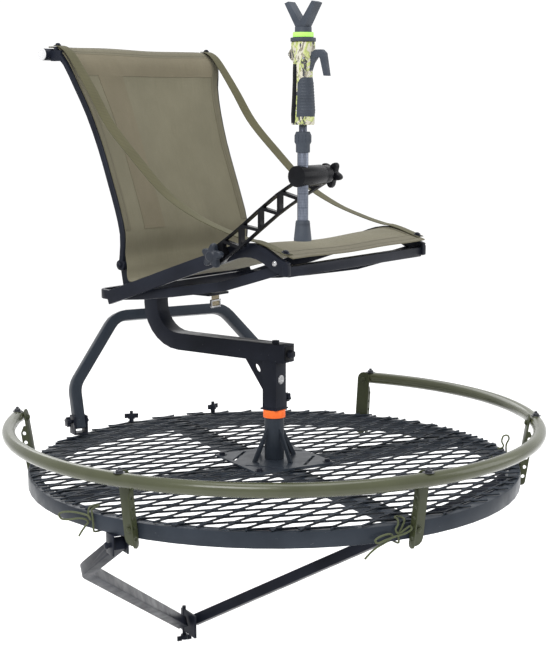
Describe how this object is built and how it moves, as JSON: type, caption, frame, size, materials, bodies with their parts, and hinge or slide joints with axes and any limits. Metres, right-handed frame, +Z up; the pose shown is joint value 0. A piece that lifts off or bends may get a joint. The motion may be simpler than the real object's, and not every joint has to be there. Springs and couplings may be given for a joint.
{
  "type": "round-deck hunting stand",
  "caption": "Round mesh deck with part-round guard rail, folding rear arch and V brace, and a swivelling sling seat on an offset arm with a side gun rest.",
  "frame": {"origin": "middle of the rim's rear edge, level with the top of the deck, where the tree or ladder holds the stand", "axes": "+Z up, +Y towards the tree, -Y the stand's front, +X the sitter's left; the seat is stored swivelled 23 degrees about Z"},
  "size_m": [1.152, 1.1031, 1.4925],
  "materials": {
    "frame_black": "dark blue-black hammered powder coat",
    "olive_metal": "glossy olive paint",
    "sling_fabric": "olive-tan coated polyester sling cloth",
    "webbing": "olive polyester webbing",
    "ring_orange": "orange moulded bearing ring",
    "alloy": "blue-grey anodised tube",
    "black_plastic": "black moulded nylon",
    "rubber": "grey-blue rubber",
    "grip": "camouflage-printed soft grip",
    "tie_cord": "olive twisted cord"
  },
  "bodies": {
    "platform": {"rim_ring": "frame_black", "deck_mesh": "frame_black", "deck_spokes": "frame_black", "base_plate": "frame_black", "post_tube": "frame_black", "swivel_bushing": "ring_orange", "rail_bracket_1": "olive_metal", "rail_bracket_2": "olive_metal", "rail_bracket_3": "olive_metal", "rail_bracket_4": "olive_metal", "rail_bracket_5": "olive_metal", "guard_rail": "olive_metal", "arch_clevis_left": "frame_black", "arch_clevis_right": "frame_black", "brace_clevis_left": "frame_black", "brace_clevis_right": "frame_black", "tie_cord_right": "tie_cord", "tie_cord_front": "tie_cord", "tie_cord_left": "tie_cord"},
    "arch": {"arch_tube": "frame_black"},
    "arch_knob_l": {"arch_knob_left": "frame_black"},
    "arch_knob_r": {"arch_knob_right": "frame_black"},
    "wing_bolt_l": {"wing_bolt_left": "frame_black"},
    "wing_bolt_r": {"wing_bolt_right": "frame_black"},
    "brace": {"brace_arm_left": "frame_black", "brace_arm_right": "frame_black", "brace_apex_plate": "frame_black"},
    "apex_nut": {"apex_wing_nut": "frame_black"},
    "seat": {"swivel_spindle": "alloy", "swivel_sleeve": "frame_black", "swivel_arm": "frame_black", "arm_gusset": "frame_black", "saddle_plate": "frame_black", "seat_rail_left": "frame_black", "seat_rail_right": "frame_black", "seat_lower_bar": "frame_black", "seat_cross_bar": "frame_black", "seat_front_bar": "frame_black", "hinge_lug_left": "frame_black", "hinge_lug_right": "frame_black", "seat_fabric": "sling_fabric", "side_strap_left": "webbing", "side_strap_right": "webbing"},
    "back": {"back_rail_left": "frame_black", "back_rail_right": "frame_black", "back_top_bar": "frame_black", "back_fabric": "sling_fabric"},
    "truss_arm": {"rest_arm": "black_plastic"},
    "truss_knob": {"rest_knob": "black_plastic"},
    "barrel": {"rest_clamp_barrel": "black_plastic"},
    "barrel_knob": {"clamp_knob": "black_plastic"},
    "stick": {"stick_lower_tube": "alloy", "stick_foot": "rubber"},
    "collar": {"stick_collar": "rubber"},
    "stick_top": {"stick_upper_tube": "alloy", "stick_grip": "grip", "grip_flange": "rubber"},
    "yoke": {"rest_yoke": "rubber"},
    "trigger": {"stick_trigger": "rubber"}
  },
  "joints": [
    {"name": "seat_swivel", "type": "hinge", "parent": "platform", "child": "seat", "pos_m": [0, -0.525, 0.2], "axis": [0, 0, 1], "continuous": true},
    {"name": "back_fold", "type": "hinge", "parent": "seat", "child": "back", "pos_m": [-0.09722, -0.30012, 0.425], "axis": [0.9179, 0.3968, 0], "range_deg": [0, 60], "deforming": ["side_strap_left", "side_strap_right"]},
    {"name": "rest_arm_tilt", "type": "hinge", "parent": "seat", "child": "truss_arm", "pos_m": [-0.21797, -0.69114, 0.47], "axis": [0.9179, 0.3968, 0], "range_deg": [-25, 30]},
    {"name": "rest_knob_turn", "type": "hinge", "parent": "seat", "child": "truss_knob", "pos_m": [-0.21797, -0.69114, 0.47], "axis": [0.9179, 0.3968, 0], "continuous": true},
    {"name": "rest_clamp_turn", "type": "hinge", "parent": "truss_arm", "child": "barrel", "pos_m": [-0.12114, -0.9151, 0.632], "axis": [0.9179, 0.3968, 0], "range_deg": [-60, 90]},
    {"name": "clamp_knob_turn", "type": "hinge", "parent": "truss_arm", "child": "barrel_knob", "pos_m": [-0.12114, -0.9151, 0.632], "axis": [0.9179, 0.3968, 0], "continuous": true},
    {"name": "stick_height", "type": "slide", "parent": "barrel", "child": "stick", "axis": [0, 0, 1], "range_m": [-0.02, 0.055]},
    {"name": "collar_lock", "type": "hinge", "parent": "stick", "child": "collar", "pos_m": [-0.17989, -0.9405, 0.69], "axis": [0, 0, 1], "range_deg": [0, 90]},
    {"name": "stick_extend", "type": "slide", "parent": "stick", "child": "stick_top", "axis": [0, 0, 1], "range_m": [-0.01, 0.11]},
    {"name": "trigger_squeeze", "type": "hinge", "parent": "stick_top", "child": "trigger", "pos_m": [-0.17334, -0.95565, 0.839], "axis": [0.9179, 0.3968, 0], "range_deg": [0, 18], "stiffness_Nm_per_rad": 0.15, "springref_deg": -11.46},
    {"name": "yoke_turn", "type": "hinge", "parent": "stick_top", "child": "yoke", "pos_m": [-0.17989, -0.9405, 0.88], "axis": [0, 0, 1], "continuous": true},
    {"name": "arch_fold", "type": "hinge", "parent": "platform", "child": "arch", "pos_m": [0, -0.079, 0.03], "axis": [1, 0, 0], "range_deg": [-60, 20]},
    {"name": "arch_knob_left_turn", "type": "hinge", "parent": "platform", "child": "arch_knob_l", "pos_m": [0.268, -0.079, 0.03], "axis": [1, 0, 0], "continuous": true},
    {"name": "arch_knob_right_turn", "type": "hinge", "parent": "platform", "child": "arch_knob_r", "pos_m": [-0.268, -0.079, 0.03], "axis": [1, 0, 0], "continuous": true},
    {"name": "wing_bolt_left_turn", "type": "hinge", "parent": "platform", "child": "wing_bolt_l", "pos_m": [0.1106, -0.02611, 0.0003], "axis": [0, 0, 1], "continuous": true},
    {"name": "wing_bolt_right_turn", "type": "hinge", "parent": "platform", "child": "wing_bolt_r", "pos_m": [-0.1106, -0.02611, 0.0003], "axis": [0, 0, 1], "continuous": true},
    {"name": "brace_fold", "type": "hinge", "parent": "platform", "child": "brace", "pos_m": [0, -0.7416, -0.058], "axis": [1, 0, 0], "range_deg": [-20, 22]},
    {"name": "apex_nut_turn", "type": "hinge", "parent": "brace", "child": "apex_nut", "pos_m": [0, -0.078, -0.54], "axis": [0, 0, 1], "continuous": true}
  ]
}
